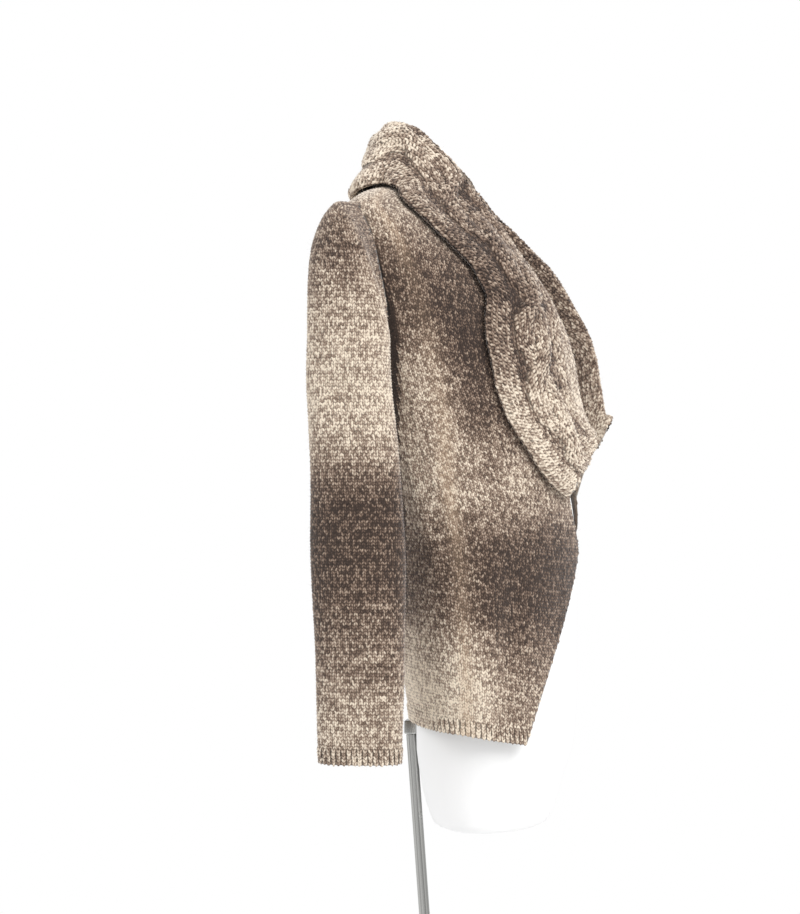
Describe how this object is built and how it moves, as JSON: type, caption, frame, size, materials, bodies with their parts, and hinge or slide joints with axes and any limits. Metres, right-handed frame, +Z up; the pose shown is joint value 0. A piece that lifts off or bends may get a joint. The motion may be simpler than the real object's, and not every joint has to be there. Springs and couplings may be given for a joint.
{
  "type": "open-front cardigan on a limbless dress form with a rod stand",
  "caption": "Chunky brown and cream knit cardigan with a wide cable-knit shawl collar and open front, worn by a white limbless dress form on a rod stand.",
  "frame": {"origin": "middle of the stand base's underside, on the floor, where the rod's axis meets the base", "axes": "+Z up, -Y to the garment's front, -X to the wearer's right"},
  "size_m": [0.485, 0.3087, 1.5747],
  "materials": {
    "knit": "brushed stocking-stitch wool, brown and cream marl in wide shaded bands, soft nap",
    "cable_knit": "thick cable-knit wool, cream and brown marl, soft nap",
    "form": "smooth satin white",
    "steel": "polished"
  },
  "bodies": {
    "root": {"back_panel": "knit", "front_right": "knit", "front_left": "knit", "sleeve_right": "knit", "sleeve_left": "knit", "collar_right": "cable_knit", "collar_left": "cable_knit", "dress_form": "form", "stand_socket": "steel", "stand_rod": "steel", "stand_base": "steel"}
  },
  "joints": []
}
